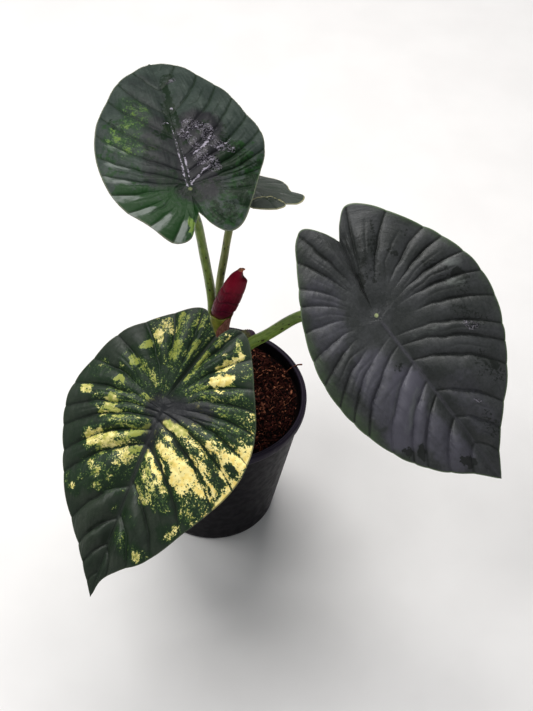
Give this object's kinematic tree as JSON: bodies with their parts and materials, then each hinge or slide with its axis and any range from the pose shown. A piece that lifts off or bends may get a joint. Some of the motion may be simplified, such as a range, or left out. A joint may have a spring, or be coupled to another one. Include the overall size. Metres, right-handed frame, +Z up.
{
  "type": "potted variegated nebula alocasia",
  "caption": "Potted foliage plant with quilted shield-shaped leaves on round stalks, a red bud sheath and a coir-filled tapered nursery pot.",
  "frame": {"origin": "centre of the pot's base, on the surface that the pot stands on", "axes": "+Z up along the pot's axis, +X to the viewer's right, +Y away from the viewer"},
  "size_m": [0.2653, 0.2735, 0.3078],
  "materials": {
    "pot_plastic": "satin",
    "coir_fibre": "matte",
    "crown_tissue": "matte",
    "green_sheath_tissue": "satin",
    "dry_sheath_tissue": "matte",
    "bud_tissue": "satin",
    "blade_back_tissue": "satin",
    "blade_front_tissue": "satin",
    "blade_right_tissue": "satin",
    "blade_young_tissue": "satin",
    "stalk_tissue": "satin"
  },
  "bodies": {
    "root": {"pot": "pot_plastic", "coir": "coir_fibre", "crown": "crown_tissue", "green_sheath": "green_sheath_tissue", "dry_sheath": "dry_sheath_tissue", "bud_sheath": "bud_tissue", "blade_back": "blade_back_tissue", "stalk_back": "stalk_tissue", "blade_front": "blade_front_tissue", "stalk_front": "stalk_tissue", "blade_right": "blade_right_tissue", "stalk_right": "stalk_tissue", "blade_young": "blade_young_tissue", "stalk_young": "stalk_tissue"}
  },
  "joints": []
}
